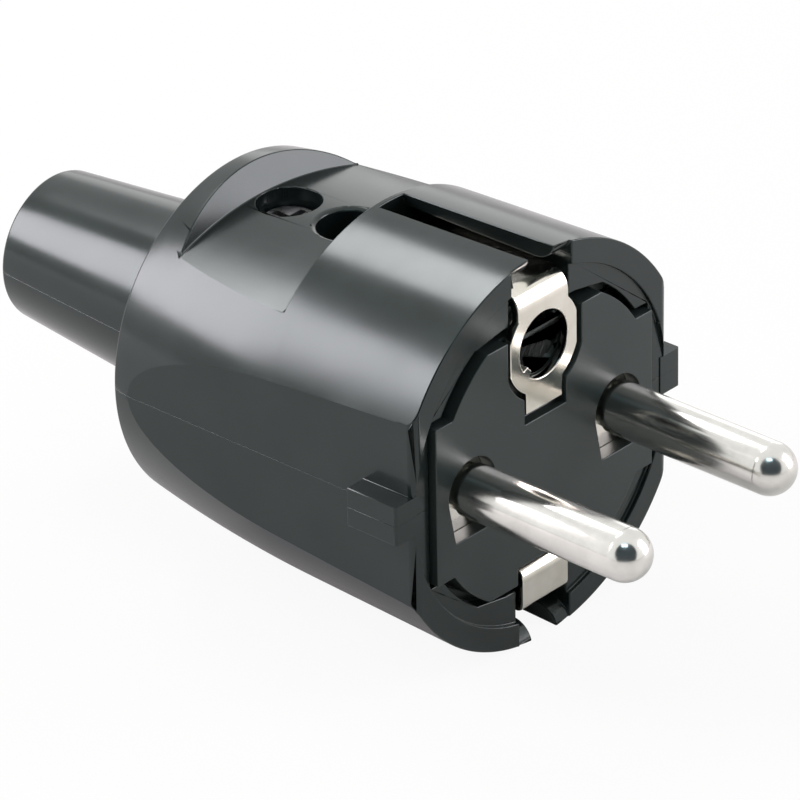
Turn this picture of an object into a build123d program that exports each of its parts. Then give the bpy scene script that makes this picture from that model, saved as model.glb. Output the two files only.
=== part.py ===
from build123d import *
import os
from math import cos, radians, sin, tan

# Straight rewirable mains plug with two round pins, a female earth contact and side earth clips.
# X runs across the two pins, Y runs from the engagement face back to the cord inlet, Z is up.
# The origin is the middle of the engagement face, on the axis between the pins.

# Driving dimensions, in millimetres
PIN_D = 4.8
PIN_PITCH = 19.0
PIN_REACH = 19.2
EARTH_Z = 10.0
BODY_R = 18.67
BODY_WIDTH = 32.94
BODY_LENGTH = 35.3
TAIL_LENGTH = 22.7
TAIL_R_BODY = 9.0
TAIL_R_END = 7.0
CORD_BORE_R = 4.8
WALL = 2.2
STRIP_T = 0.8

# Body outline along the axis
RIM_Y = 0.3
FLANGE_Y = 0.7
FLANGE_BACK_Y = 2.7
RIM_STEP_R = 16.4
STRAIGHT_END_Y = 16.3
STRAIGHT_END_R = 18.1
SHOULDER_Y = 28.3
SHOULDER_R = 17.2
BACK_R = 16.15
BACK_CHAMFER = 0.35
BACK_Y = RIM_Y + BODY_LENGTH
TAIL_END_Y = BACK_Y + TAIL_LENGTH
CAVITY_END_Y = BACK_Y - WALL
FLAT_X = BODY_WIDTH / 2
CAVITY_X = FLAT_X - WALL + 0.18

# Finger pegs on the two flats
PEG_OUT = 2.05
PEG_Y0 = 0.6
PEG_Y1 = 6.2
PEG_HALF_Z = 1.86

# Contact carrier outline, one quarter; the same outline with a gap is the opening of the shells
FACE_HALF_X = 14.05
FACE_HALF_Z = 12.0
FACE_NOTCH_Z = 7.57
FACE_ARC_R = 14.08
STRAIGHT_GAP = 0.35
SIDE_GAP = 0.2
ARC_GAP = 0.75
COLLAR_R = 16.0
COLLAR_Y0 = 2.75
COLLAR_Y1 = 4.75
CARRIER_BACK_Y = 12.5

# Earth slots at the top and the bottom
SLOT_END_Y = 17.3
LIP_GAP = 3.8
LIP_UNDER_Z = 16.9
CHANNEL_HALF = 3.45
CHANNEL_FLOOR_Z = 14.8
TROUGH_Z = 13.8
TROUGH_HALF = 4.7
LEAD_IN = 2.2

# Saddle recess and the two screws under it
SADDLE_Y0 = 17.9
SADDLE_Y1 = 32.3
SADDLE_R = 42.0
SADDLE_Z = 14.05
SADDLE_TILT = 2.3
SADDLE_BACK_LEAN = 24.0
SADDLE_BACK_Z = 13.9
HOUSING_SCREW_Y = 22.2
CLAMP_SCREW_Y = 29.3
SCREW_WELL_R = 2.9
WELL_RING_R = 3.6
BOSS_R = 4.4
HOUSING_SEAT_Z = 3.4
CLAMP_SEAT_Z = 10.2

# Pins and their terminal blocks
BLOCK_HALF_X = 3.0
BLOCK_Y0 = 1.55
BLOCK_Y1 = 11.3
BLOCK_Z0 = -6.0
BLOCK_Z1 = 3.4
PIN_NECK_R = 2.15
SPIGOT_R = 1.9
SPIGOT_END_Y = 4.3
WIRE_HOLE_R = 1.6
WIRE_HOLE_Z = -2.7
TERMINAL_SCREW_Y = 7.6

# Earth parts
STRIP_Y = 0.15
STRIP_Z = 16.15
STRIP_END_Y = 14.9
BEND_R = 1.9
RING_HOLE_R = 3.1
SLEEVE_R = 2.5
SLEEVE_T = 0.35
SLEEVE_Y0 = 2.2
SLEEVE_END_Y = 13.0
BRIDGE_Y = 13.05
LOWER_RUN_Z = -10.7

BIG = 60.0


def block(x0, x1, y0, y1, z0, z1):
    """Box between two corners."""
    size = Box(x1 - x0, y1 - y0, z1 - z0)
    return Pos((x0 + x1) / 2, (y0 + y1) / 2, (z0 + z1) / 2) * size


def rod_y(radius, y0, y1, x=0.0, z=0.0):
    """Cylinder along Y."""
    return Pos(x, (y0 + y1) / 2, z) * Rot(90, 0, 0) * Cylinder(radius, y1 - y0)


def rod_z(radius, z0, z1, x=0.0, y=0.0):
    """Cylinder along Z."""
    return Pos(x, y, (z0 + z1) / 2) * Cylinder(radius, z1 - z0)


def along_y(face, y0, y1):
    """Sketch drawn as x and z, pushed from y0 to y1."""
    return extrude(Plane((0, y1, 0), (1, 0, 0), (0, -1, 0)) * face, y1 - y0)


def along_x(face, x0, x1):
    """Sketch drawn as y and z, pushed from x0 to x1."""
    return extrude(Plane((x0, 0, 0), (0, 1, 0), (1, 0, 0)) * face, x1 - x0)


def mirrored_z(solid):
    """The same solid on the other side of the parting plane."""
    return mirror(solid, Plane.XY)


def half(solid, upper):
    """The part of a solid above or below the parting plane."""
    if upper:
        return solid & block(-BIG, BIG, -BIG, 2 * BIG, 0, BIG)
    return solid & block(-BIG, BIG, -BIG, 2 * BIG, -BIG, 0)


def body_of_revolution():
    """Barrel and tail turned about Y."""
    outline = [
        Line((0, RIM_Y), (BODY_R, RIM_Y)),
        Line((BODY_R, RIM_Y), (STRAIGHT_END_R, STRAIGHT_END_Y)),
        ThreePointArc(
            (STRAIGHT_END_R, STRAIGHT_END_Y),
            (SHOULDER_R, SHOULDER_Y),
            (BACK_R, BACK_Y - BACK_CHAMFER),
        ),
        Line((BACK_R, BACK_Y - BACK_CHAMFER), (BACK_R - BACK_CHAMFER, BACK_Y)),
        Line((BACK_R - BACK_CHAMFER, BACK_Y), (TAIL_R_BODY, BACK_Y)),
        Line((TAIL_R_BODY, BACK_Y), (TAIL_R_END, TAIL_END_Y)),
        Line((TAIL_R_END, TAIL_END_Y), (0, TAIL_END_Y)),
        Line((0, TAIL_END_Y), (0, RIM_Y)),
    ]
    return revolve(make_face(Wire(outline)), Axis.Y, 360)


def outer_body():
    """Outer form of both shells together, with the flats, their soft front edges and the rim step."""
    body = body_of_revolution()
    for side in (-1, 1):
        near, far = sorted((side * FLAT_X, side * BIG))
        body -= block(near, far, -BIG, BIG, -BIG, BIG)
    fronts = [
        e for e in body.edges().filter_by(GeomType.LINE)
        if abs(e.center().Y - RIM_Y) < 0.01 and abs(abs(e.center().X) - FLAT_X) < 0.01
    ]
    body = fillet(fronts, 0.8)
    return body - rod_y(RIM_STEP_R, -BIG, FLANGE_Y)


def peg(side):
    """Finger peg on one flat, with a rounded outer front corner."""
    inner = FLAT_X - 0.6
    outer = FLAT_X + PEG_OUT
    solid = block(inner, outer, PEG_Y0, PEG_Y1, -PEG_HALF_Z, PEG_HALF_Z)
    corners = [
        e for e in solid.edges().filter_by(Axis.Z)
        if abs(e.center().X - outer) < 0.01 and abs(e.center().Y - PEG_Y0) < 0.01
    ]
    solid = fillet(corners, 0.9)
    return solid if side > 0 else mirror(solid, Plane.YZ)


def face_outline(grow_straight=0.0, grow_side=0.0, grow_arc=0.0):
    """Outline of the contact carrier face, drawn as x and z, grown by a gap on each kind of edge."""
    top = FACE_HALF_Z + grow_straight
    side = FACE_HALF_X + grow_side
    notch = FACE_NOTCH_Z + grow_straight
    arc_r = FACE_ARC_R + grow_arc
    disc = Circle(arc_r) & Rectangle(2 * side, 2 * top)
    return disc + Rectangle(2 * side, 2 * notch)


def face_opening():
    """Opening of the shells round the carrier face, raised a little beside the earth slots."""
    opening = face_outline(STRAIGHT_GAP, SIDE_GAP, ARC_GAP)
    top = FACE_HALF_Z + STRAIGHT_GAP
    raised = Polygon((0, 0), (8.0, top), (4.6, 12.95), (-4.6, 12.95), (-8.0, top), align=None)
    return opening + raised + Rot(0, 0, 180) * raised


def saddle_space(drop, y0, y1):
    """Space above the crowned saddle floor, or above a face lower than it by drop."""
    radius = SADDLE_R - drop
    middle = (HOUSING_SCREW_Y + CLAMP_SCREW_Y) / 2
    core = Pos(0, middle, SADDLE_Z - SADDLE_R) * Rot(90 - SADDLE_TILT, 0, 0)
    lean = tan(radians(SADDLE_BACK_LEAN))
    side = Polygon(
        (y0, 4), (y1 + (4 - SADDLE_BACK_Z) * lean, 4), (y1 + (BIG / 2 - SADDLE_BACK_Z) * lean, BIG / 2),
        (y0, BIG / 2), align=None,
    )
    return along_x(side, -BIG / 2, BIG / 2) - core * Cylinder(radius, 2 * BIG)


def slot_space():
    """Everything that the top earth slot takes out of the shell: channel, lip gap and lead-in."""
    opening_z = FACE_HALF_Z
    front = block(-CHANNEL_HALF, CHANNEL_HALF, -1, FLANGE_BACK_Y, opening_z, LIP_UNDER_Z)
    channel = block(-CHANNEL_HALF, CHANNEL_HALF, -1, SLOT_END_Y, CHANNEL_FLOOR_Z, LIP_UNDER_Z)
    gap = block(-LIP_GAP / 2, LIP_GAP / 2, -1, SLOT_END_Y, LIP_UNDER_Z - 0.2, 20)
    mouth = block(-CHANNEL_HALF, CHANNEL_HALF, -1, RIM_Y + LEAD_IN, LIP_UNDER_Z - 0.2, 20)
    lip_round = Pos(0, RIM_Y + LEAD_IN, LIP_UNDER_Z + LEAD_IN) * Rot(0, 90, 0)
    mouth -= lip_round * Cylinder(LEAD_IN, 3 * CHANNEL_HALF)
    mouth -= block(-BIG, BIG, -1, RIM_Y + LEAD_IN, LIP_UNDER_Z + LEAD_IN, 20)
    return front + channel + gap + mouth


def trough():
    """Walls that close the channel of the top slot off from the wiring space."""
    return block(-TROUGH_HALF, TROUGH_HALF, FLANGE_Y, SADDLE_Y0 + 1.0, TROUGH_Z, LIP_UNDER_Z + 0.4)


def cavity():
    """Wiring space of both shells together."""
    inner = [
        Line((0, FLANGE_BACK_Y), (BODY_R - WALL - 0.1, FLANGE_BACK_Y)),
        Line((BODY_R - WALL - 0.1, FLANGE_BACK_Y), (STRAIGHT_END_R - WALL, STRAIGHT_END_Y)),
        Line((STRAIGHT_END_R - WALL, STRAIGHT_END_Y), (SHOULDER_R - WALL, SHOULDER_Y)),
        Line((SHOULDER_R - WALL, SHOULDER_Y), (BACK_R - WALL + 0.1, CAVITY_END_Y)),
        Line((BACK_R - WALL + 0.1, CAVITY_END_Y), (0, CAVITY_END_Y)),
        Line((0, CAVITY_END_Y), (0, FLANGE_BACK_Y)),
    ]
    space = revolve(make_face(Wire(inner)), Axis.Y, 360)
    return space & block(-CAVITY_X, CAVITY_X, -BIG, BIG, -BIG, BIG)


def carrier_ribs():
    """Ribs behind the carrier collar that hold it against the flange."""
    ring = rod_y(BODY_R - WALL / 2, COLLAR_Y1 + 0.1, COLLAR_Y1 + 1.3) - rod_y(15.1, -BIG, BIG)
    ring &= block(-CAVITY_X - 0.3, CAVITY_X + 0.3, -BIG, BIG, -BIG, BIG)
    return ring


def cord_bore():
    """Cord inlet: a straight mouth at the end of the tail, then a cone into the wiring space."""
    mouth_len = 9.0
    inner = [
        Line((0, CAVITY_END_Y - 1), (6.6, CAVITY_END_Y - 1)),
        Line((6.6, CAVITY_END_Y - 1), (6.6, BACK_Y + 2)),
        Line((6.6, BACK_Y + 2), (CORD_BORE_R, TAIL_END_Y - mouth_len)),
        Line((CORD_BORE_R, TAIL_END_Y - mouth_len), (CORD_BORE_R, TAIL_END_Y - 0.7)),
        Line((CORD_BORE_R, TAIL_END_Y - 0.7), (CORD_BORE_R + 0.7, TAIL_END_Y)),
        Line((CORD_BORE_R + 0.7, TAIL_END_Y), (CORD_BORE_R + 0.7, TAIL_END_Y + 1)),
        Line((CORD_BORE_R + 0.7, TAIL_END_Y + 1), (0, TAIL_END_Y + 1)),
        Line((0, TAIL_END_Y + 1), (0, CAVITY_END_Y - 1)),
    ]
    return revolve(make_face(Wire(inner)), Axis.Y, 360)


def shell_walls():
    """Both shells as one hollow form, before their own recesses and bosses."""
    form = outer_body() + peg(-1) + peg(1)
    hollow = form - cavity() - cord_bore()
    hollow -= along_y(face_opening(), -1, FLANGE_BACK_Y + 0.1)
    hollow += carrier_ribs() & form
    closed = trough() + mirrored_z(trough())
    hollow += closed & outer_body()
    slot = slot_space()
    return hollow - slot - mirrored_z(slot)


def upper_shell(walls):
    """Upper half: saddle recess, housing screw boss and clamp screw boss."""
    shell = half(walls, True)
    skin = saddle_space(2.0, SADDLE_Y0 - 1.6, SADDLE_Y1 + 1.6) & cavity()
    shell += half(skin, True)
    boss = rod_z(BOSS_R, 0.1, SADDLE_Z, 0, HOUSING_SCREW_Y)
    boss += rod_z(BOSS_R, 5.6, SADDLE_Z, 0, CLAMP_SCREW_Y)
    shell += boss & (cavity() + skin)
    shell -= saddle_space(0.0, SADDLE_Y0, SADDLE_Y1)
    shell -= rod_z(SCREW_WELL_R, HOUSING_SEAT_Z, 20, 0, HOUSING_SCREW_Y)
    shell -= rod_z(1.85, -1, HOUSING_SEAT_Z + 1, 0, HOUSING_SCREW_Y)
    ring_h = (WELL_RING_R - SCREW_WELL_R) / 2
    ring_z = SADDLE_Z + 0.15 - ring_h / 2
    shell -= Pos(0, HOUSING_SCREW_Y, ring_z) * Cone(SCREW_WELL_R, WELL_RING_R, ring_h)
    shell -= rod_z(WELL_RING_R, SADDLE_Z + 0.15, 20, 0, HOUSING_SCREW_Y)
    shell -= rod_z(SCREW_WELL_R, CLAMP_SEAT_Z, 20, 0, CLAMP_SCREW_Y)
    return shell - rod_z(2.8, 5, CLAMP_SEAT_Z - 0.2, 0, CLAMP_SCREW_Y) - rod_z(2.05, 5, 12, 0, CLAMP_SCREW_Y)


def lower_shell(walls):
    """Lower half: boss with a pocket for the threaded insert, and two cradle ribs for the cord."""
    shell = half(walls, False)
    boss = rod_z(BOSS_R, -BIG / 2, -0.1, 0, HOUSING_SCREW_Y) & cavity()
    ribs = cavity() & block(-9, 9, CLAMP_SCREW_Y - 2.4, CLAMP_SCREW_Y - 1.2, -BIG / 2, -0.6)
    ribs += cavity() & block(-9, 9, CLAMP_SCREW_Y + 1.2, CLAMP_SCREW_Y + 2.4, -BIG / 2, -0.6)
    ribs -= rod_y(CORD_BORE_R, 0, BACK_Y)
    shell += boss + ribs
    shell -= rod_z(2.75, -9.0, 1, 0, HOUSING_SCREW_Y)
    return shell - rod_z(1.9, -12.0, 1, 0, HOUSING_SCREW_Y)


def contact_carrier():
    """Moulded insert that holds the pins, terminals and earth parts."""
    carrier = along_y(face_outline(), 0, COLLAR_Y1)
    collar = Circle(COLLAR_R) & Rectangle(2 * 14.2, 2 * 13.6)
    carrier += along_y(collar, COLLAR_Y0, COLLAR_Y1)
    carrier += block(-13.5, 13.5, COLLAR_Y0, CARRIER_BACK_Y, -6.6, 6.2)
    boss = rod_y(3.95, COLLAR_Y0, SLEEVE_END_Y, 0, EARTH_Z)
    boss += block(-3.95, 3.95, COLLAR_Y0, CARRIER_BACK_Y, 5.0, EARTH_Z)
    carrier += boss & block(-BIG, BIG, -BIG, BIG, -BIG, 13.6)
    for side in (-1, 1):
        x = side * PIN_PITCH / 2
        carrier -= rod_y(2.97, -1, BLOCK_Y0 + 1, x)
        carrier -= block(x - 2.3, x + 2.3, -1, BLOCK_Y0 + 1, -4.4, 0)
        carrier -= block(x - 3.1, x + 3.1, BLOCK_Y0, 20, BLOCK_Z0 - 0.1, 10)
    ring_space = Pos(0, EARTH_Z) * Circle(5.05) & Rectangle(2 * 4.75, 60)
    ring_space += Pos(0, 6.3) * Rectangle(5.4, 6.0)
    ring_space += Pos(0, 13.0) * Rectangle(9.5, 5.0)
    pocket_y = STRIP_Y + STRIP_T + 0.1
    carrier -= along_y(ring_space, -1, pocket_y)
    carrier -= rod_y(SLEEVE_R + SLEEVE_T + 0.03, 0, 20, 0, EARTH_Z)
    carrier -= block(-3.75, 3.75, -1, pocket_y + 0.9, -14, LOWER_RUN_Z + 0.35)
    carrier -= block(-3.15, 3.15, 0, 20, LOWER_RUN_Z - STRIP_T - 0.1, LOWER_RUN_Z + 0.1)
    carrier -= block(-3.1, 3.1, 10.4, 20, -3.1, 3.1)
    return carrier - rod_y(1.8, 7.5, 20)


def pin(side):
    """Round contact pin with a domed tip and a spigot for its terminal block."""
    x = side * PIN_PITCH / 2
    radius = PIN_D / 2
    outline = [
        ThreePointArc(
            (0, -PIN_REACH),
            (radius * sin(radians(45)), -PIN_REACH + radius * (1 - cos(radians(45)))),
            (radius, -PIN_REACH + radius),
        ),
        Line((radius, -PIN_REACH + radius), (radius, 0)),
        Line((radius, 0), (PIN_NECK_R, 0)),
        Line((PIN_NECK_R, 0), (PIN_NECK_R, BLOCK_Y0)),
        Line((PIN_NECK_R, BLOCK_Y0), (SPIGOT_R, BLOCK_Y0)),
        Line((SPIGOT_R, BLOCK_Y0), (SPIGOT_R, SPIGOT_END_Y)),
        Line((SPIGOT_R, SPIGOT_END_Y), (0, SPIGOT_END_Y)),
        Line((0, SPIGOT_END_Y), (0, -PIN_REACH)),
    ]
    return Pos(x, 0, 0) * revolve(make_face(Wire(outline)), Axis.Y, 360)


def terminal_block(side):
    """Terminal block behind a pin, with a wire hole from the back and a screw hole from the top."""
    x = side * PIN_PITCH / 2
    solid = block(x - BLOCK_HALF_X, x + BLOCK_HALF_X, BLOCK_Y0, BLOCK_Y1, BLOCK_Z0, BLOCK_Z1)
    solid = chamfer(solid.edges().filter_by(Axis.Y), 0.4)
    solid -= rod_y(SPIGOT_R, 0, SPIGOT_END_Y, x)
    solid -= rod_y(WIRE_HOLE_R, 5.0, 20, x, WIRE_HOLE_Z)
    return solid - rod_z(1.5, WIRE_HOLE_Z, 10, x, TERMINAL_SCREW_Y)


def slotted_screw(head_r, head_t, shaft_r, shaft_len, slot=True):
    """Cheese-head screw along Z, the seat of its head at zero and its shaft below."""
    head = Cylinder(head_r, head_t, align=(Align.CENTER, Align.CENTER, Align.MIN))
    head = chamfer(head.edges().group_by(Axis.Z)[-1], 0.3)
    shaft = Pos(0, 0, -shaft_len) * Cylinder(
        shaft_r, shaft_len, align=(Align.CENTER, Align.CENTER, Align.MIN)
    )
    shaft = chamfer(shaft.edges().group_by(Axis.Z)[0], 0.3)
    screw = head + shaft
    recess = block(-head_r * 0.72, head_r * 0.72, -0.35, 0.35, head_t * 0.4, head_t + 1)
    if slot:
        recess = block(-BIG, BIG, -0.4, 0.4, head_t * 0.45, head_t + 1)
        return screw - recess
    return screw - recess - Rot(0, 0, 90) * recess


def upper_earth_strip():
    """Earth contact strip: ring and tab on the face, neck, bend, and run along the top slot."""
    front = Pos(0, EARTH_Z) * Circle(4.57) & Rectangle(8.6, 60)
    front -= Pos(-4.25, 13.9) * Rectangle(2.0, 2.0) + Pos(4.25, 13.9) * Rectangle(2.0, 2.0)
    front += Pos(0, (4.1 + EARTH_Z) / 2) * Rectangle(4.66, EARTH_Z - 4.1)
    front -= Pos(0, EARTH_Z) * Circle(RING_HOLE_R)
    tooth = Pos(0, EARTH_Z) * Rot(0, 0, 222) * Pos(RING_HOLE_R, 0) * Rectangle(1.1, 0.9)
    front += tooth
    plate = along_y(front, STRIP_Y, STRIP_Y + STRIP_T)
    outer = [(STRIP_Y, EARTH_Z + 3.35), (STRIP_Y, STRIP_Z), (STRIP_END_Y, STRIP_Z)]
    side = side_face(outer)
    return plate + along_x(side, -3.05, 3.05)


def side_face(outer):
    """Side view of a strip bent once: y and z points of its outer face, thickness added inwards."""
    (y0, z0), (y1, z1), (y2, z2) = outer
    inward_y = STRIP_T
    inward_z = -STRIP_T if z1 > 0 else STRIP_T
    bend_z = BEND_R if z1 > 0 else -BEND_R
    inner_r = BEND_R - STRIP_T
    swing = sin(radians(45))
    mid_y = y1 + BEND_R * (1 - swing)
    mid_z = z1 - bend_z * (1 - swing)
    in_mid_y = y1 + BEND_R - inner_r * swing
    in_mid_z = z1 - bend_z + (bend_z / BEND_R) * inner_r * swing
    return make_face(Wire([
        Line((y0, z0), (y1, z1 - bend_z)),
        ThreePointArc((y1, z1 - bend_z), (mid_y, mid_z), (y1 + BEND_R, z1)),
        Line((y1 + BEND_R, z1), (y2, z2)),
        Line((y2, z2), (y2, z2 + inward_z)),
        Line((y2, z2 + inward_z), (y1 + BEND_R, z1 + inward_z)),
        ThreePointArc(
            (y1 + BEND_R, z1 + inward_z), (in_mid_y, in_mid_z), (y1 + inward_y, z1 - bend_z)
        ),
        Line((y1 + inward_y, z1 - bend_z), (y0 + inward_y, z0)),
        Line((y0 + inward_y, z0), (y0, z0)),
    ]))


def lower_earth_strip():
    """Bottom earth clip: run along the slot, face, and a run back through the carrier."""
    lower = side_face([(STRIP_Y, -13.5), (STRIP_Y, -STRIP_Z), (STRIP_END_Y, -STRIP_Z)])
    top = LOWER_RUN_Z
    outer_r = 1.4
    inner_r = outer_r - STRIP_T
    swing = sin(radians(45))
    upper = make_face(Wire([
        Line((STRIP_Y, -13.5), (STRIP_Y, top - outer_r)),
        ThreePointArc(
            (STRIP_Y, top - outer_r),
            (STRIP_Y + outer_r * (1 - swing), top - outer_r * (1 - swing)),
            (STRIP_Y + outer_r, top),
        ),
        Line((STRIP_Y + outer_r, top), (CARRIER_BACK_Y, top)),
        Line((CARRIER_BACK_Y, top), (CARRIER_BACK_Y, top - STRIP_T)),
        Line((CARRIER_BACK_Y, top - STRIP_T), (STRIP_Y + outer_r, top - STRIP_T)),
        ThreePointArc(
            (STRIP_Y + outer_r, top - STRIP_T),
            (STRIP_Y + outer_r - inner_r * swing, top - outer_r + inner_r * swing),
            (STRIP_Y + STRIP_T, top - outer_r),
        ),
        Line((STRIP_Y + STRIP_T, top - outer_r), (STRIP_Y + STRIP_T, -13.5)),
        Line((STRIP_Y + STRIP_T, -13.5), (STRIP_Y, -13.5)),
    ]))
    strip = along_x(lower, -3.03, 3.03) + along_x(upper, -3.03, 3.03)
    return strip - rod_z(1.2, -12.5, -10, 0, 10.0)


def earth_sleeve():
    """Rolled spring sleeve that grips the earth pin of the socket, split along one side."""
    outer_r = SLEEVE_R + SLEEVE_T
    tube = rod_y(outer_r, SLEEVE_Y0, SLEEVE_END_Y, 0, EARTH_Z) - rod_y(SLEEVE_R, 0, 20, 0, EARTH_Z)
    slit = block(-6, 0, -1, 20, -0.5, 0.5)
    return tube - Pos(0, 0, EARTH_Z) * Rot(0, -35, 0) * slit


def earth_bridge():
    """Flat link from the sleeve down to the bottom clip, with the hole of the earth terminal."""
    y1 = BRIDGE_Y + STRIP_T
    foot_z = LOWER_RUN_Z + 0.02
    plate = block(-3.2, 3.2, BRIDGE_Y, y1, foot_z, EARTH_Z)
    plate += rod_y(4.0, BRIDGE_Y, y1, 0, EARTH_Z) & block(-5, 5, 0, 20, 0, 13.5)
    plate -= rod_y(SLEEVE_R, 0, 20, 0, EARTH_Z) + rod_y(1.65, 0, 20)
    foot = block(-2.6, 2.6, 8.0, y1, foot_z, foot_z + STRIP_T)
    return plate + foot - rod_z(1.2, -12, -8, 0, 10.0)


def earth_rivet():
    """Rivet that joins the bridge foot to the bottom clip."""
    top = LOWER_RUN_Z + 0.02 + STRIP_T
    bottom = LOWER_RUN_Z - STRIP_T
    rivet = rod_z(1.2, bottom, top, 0, 10.0)
    return rivet + rod_z(2.0, top, top + 0.7, 0, 10.0) + rod_z(1.9, bottom - 0.6, bottom, 0, 10.0)


def on_bridge(solid, y):
    """Turn a part made along Z so that its head points back along Y, and seat it at y."""
    return Pos(0, y, 0) * Rot(-90, 0, 0) * solid


def cord_clamp_saddle():
    """Bar that the clamp screw presses down on the cord."""
    bar = block(-6.4, 6.4, CLAMP_SCREW_Y - 2.55, CLAMP_SCREW_Y + 2.55, 1.6, 5.2)
    bar -= rod_y(5.6, 0, BACK_Y, 0, -3.4)
    bar = fillet(bar.edges().filter_by(Axis.Z), 1.0)
    return bar - rod_z(2.1, 4.6, 6, 0, CLAMP_SCREW_Y)


def tube_insert(outer_r, inner_r, z0, z1, y):
    """Threaded insert with a groove that locks it in the plastic."""
    insert = rod_z(outer_r, z0, z1, 0, y) - rod_z(inner_r, z0 - 1, z1 + 1, 0, y)
    z = (z0 + z1) / 2
    return insert - (rod_z(outer_r + 1, z - 0.5, z + 0.5, 0, y) - rod_z(outer_r - 0.35, z - 1, z + 1, 0, y))


def all_parts():
    """Every piece of the plug by name."""
    walls = shell_walls()
    parts = {
        "upper_shell": upper_shell(walls),
        "lower_shell": lower_shell(walls),
        "contact_carrier": contact_carrier(),
        "upper_earth_strip": upper_earth_strip(),
        "lower_earth_strip": lower_earth_strip(),
        "earth_sleeve": earth_sleeve(),
        "earth_bridge": earth_bridge(),
        "earth_rivet": earth_rivet(),
        "cord_clamp_saddle": cord_clamp_saddle(),
    }
    for name, side in (("left", -1), ("right", 1)):
        x = side * PIN_PITCH / 2
        parts[name + "_pin"] = pin(side)
        parts[name + "_terminal_block"] = terminal_block(side)
        screw = slotted_screw(2.4, 1.8, 1.5, 4.9)
        parts[name + "_terminal_screw"] = Pos(x, TERMINAL_SCREW_Y, 3.9) * screw
    washer = Rectangle(6.6, 6.6) - Circle(1.65)
    washer_y = BRIDGE_Y + STRIP_T
    parts["earth_washer"] = along_y(washer, washer_y, washer_y + STRIP_T)
    parts["earth_terminal_screw"] = on_bridge(slotted_screw(2.7, 1.9, 1.5, 6.0), washer_y + STRIP_T)
    nut = Rectangle(5.9, 5.9) - Circle(1.5)
    parts["earth_nut"] = along_y(nut, 10.5, BRIDGE_Y)
    housing = slotted_screw(2.6, 2.2, 1.75, 11.5, slot=False)
    parts["housing_screw"] = Pos(0, HOUSING_SCREW_Y, HOUSING_SEAT_Z) * housing
    parts["housing_insert"] = tube_insert(2.75, 1.75, -9.0, -0.15, HOUSING_SCREW_Y)
    clamp = slotted_screw(2.6, 1.9, 1.95, 5.75, slot=False)
    parts["cord_clamp_screw"] = Pos(0, CLAMP_SCREW_Y, CLAMP_SEAT_Z + 0.15) * clamp
    parts["cord_clamp_insert"] = tube_insert(2.8, 1.95, 5.7, CLAMP_SEAT_Z - 0.2, CLAMP_SCREW_Y)
    return parts


def main():
    """Write one file for each piece."""
    os.makedirs("parts", exist_ok=True)
    for name, solid in all_parts().items():
        export_step(solid, "parts/" + name + ".step")


main()
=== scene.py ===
import logging
from collections.abc import Callable, Iterator, Sequence
from dataclasses import dataclass
from enum import Enum
from math import acos, cos, hypot, pi, radians, sin, sqrt, tan

import bpy
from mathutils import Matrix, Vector


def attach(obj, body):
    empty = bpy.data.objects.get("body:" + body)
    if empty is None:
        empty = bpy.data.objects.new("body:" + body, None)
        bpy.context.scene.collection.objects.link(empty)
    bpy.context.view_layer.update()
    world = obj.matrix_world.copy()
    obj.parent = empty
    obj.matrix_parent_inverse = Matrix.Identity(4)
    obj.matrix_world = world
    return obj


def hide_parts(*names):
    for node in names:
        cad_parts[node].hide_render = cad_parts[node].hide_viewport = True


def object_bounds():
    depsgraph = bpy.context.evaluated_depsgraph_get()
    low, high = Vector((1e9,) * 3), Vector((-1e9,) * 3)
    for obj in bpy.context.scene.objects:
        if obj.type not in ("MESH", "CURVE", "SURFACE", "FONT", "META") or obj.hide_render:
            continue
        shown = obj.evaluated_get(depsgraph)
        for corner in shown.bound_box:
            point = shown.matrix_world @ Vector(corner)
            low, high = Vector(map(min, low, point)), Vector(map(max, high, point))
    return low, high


# Looks of a straight rewirable mains plug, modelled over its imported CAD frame.
# X runs across the two pins, Y runs back to the cord inlet and Z is up.
# Sizes are written in millimetres and turned into metres where a mesh is made.

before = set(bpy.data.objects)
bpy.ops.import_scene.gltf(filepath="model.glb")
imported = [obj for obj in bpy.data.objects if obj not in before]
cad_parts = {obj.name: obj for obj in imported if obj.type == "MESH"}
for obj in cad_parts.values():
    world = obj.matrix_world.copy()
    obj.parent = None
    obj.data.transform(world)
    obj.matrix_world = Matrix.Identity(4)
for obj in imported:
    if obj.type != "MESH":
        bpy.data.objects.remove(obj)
cad_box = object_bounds()

log = logging.getLogger("plug")

MM = 0.001
NEAR = 0.01  # Places in millimetres that differ by less count as the same
FAR = 30.0  # Cutting tools reach this far to the sides, up and down
AHEAD = -5.0  # and from here
BEHIND = 70.0  # to here along Y
STRAIGHT = 181.0  # Degrees that no edge turns by
ROUND_STEPS = 3  # Strips in a modelled edge rounding

Point = tuple[float, float, float]
Pair = tuple[float, float]
Colour = tuple[float, float, float]
Piece = bpy.types.Object
Source = bpy.types.NodeSocket


class Way(Enum):
    """Direction that a rod runs along."""

    X = (0.0, pi / 2, 0.0)
    Y = (pi / 2, 0.0, 0.0)
    Z = (0.0, 0.0, 0.0)


class Join(Enum):
    """How one solid is combined with another."""

    CUT = "DIFFERENCE"
    ADD = "UNION"
    KEEP = "INTERSECT"


def pick(obj: Piece) -> None:
    """Make one object the only selected and active one."""
    bpy.ops.object.select_all(action="DESELECT")
    obj.select_set(True)
    bpy.context.view_layer.objects.active = obj


def edit(obj: Piece, action: str = "SELECT") -> None:
    """Open a piece in edit mode with all of its mesh selected, or none of it for DESELECT."""
    pick(obj)
    bpy.ops.object.mode_set(mode="EDIT")
    bpy.ops.mesh.select_all(action=action)


def leave() -> None:
    """Leave edit mode."""
    bpy.ops.object.mode_set(mode="OBJECT")


def close_up() -> None:
    """Turn all faces outwards and leave edit mode."""
    bpy.ops.mesh.select_all(action="SELECT")
    bpy.ops.mesh.normals_make_consistent(inside=False)
    leave()


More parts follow.
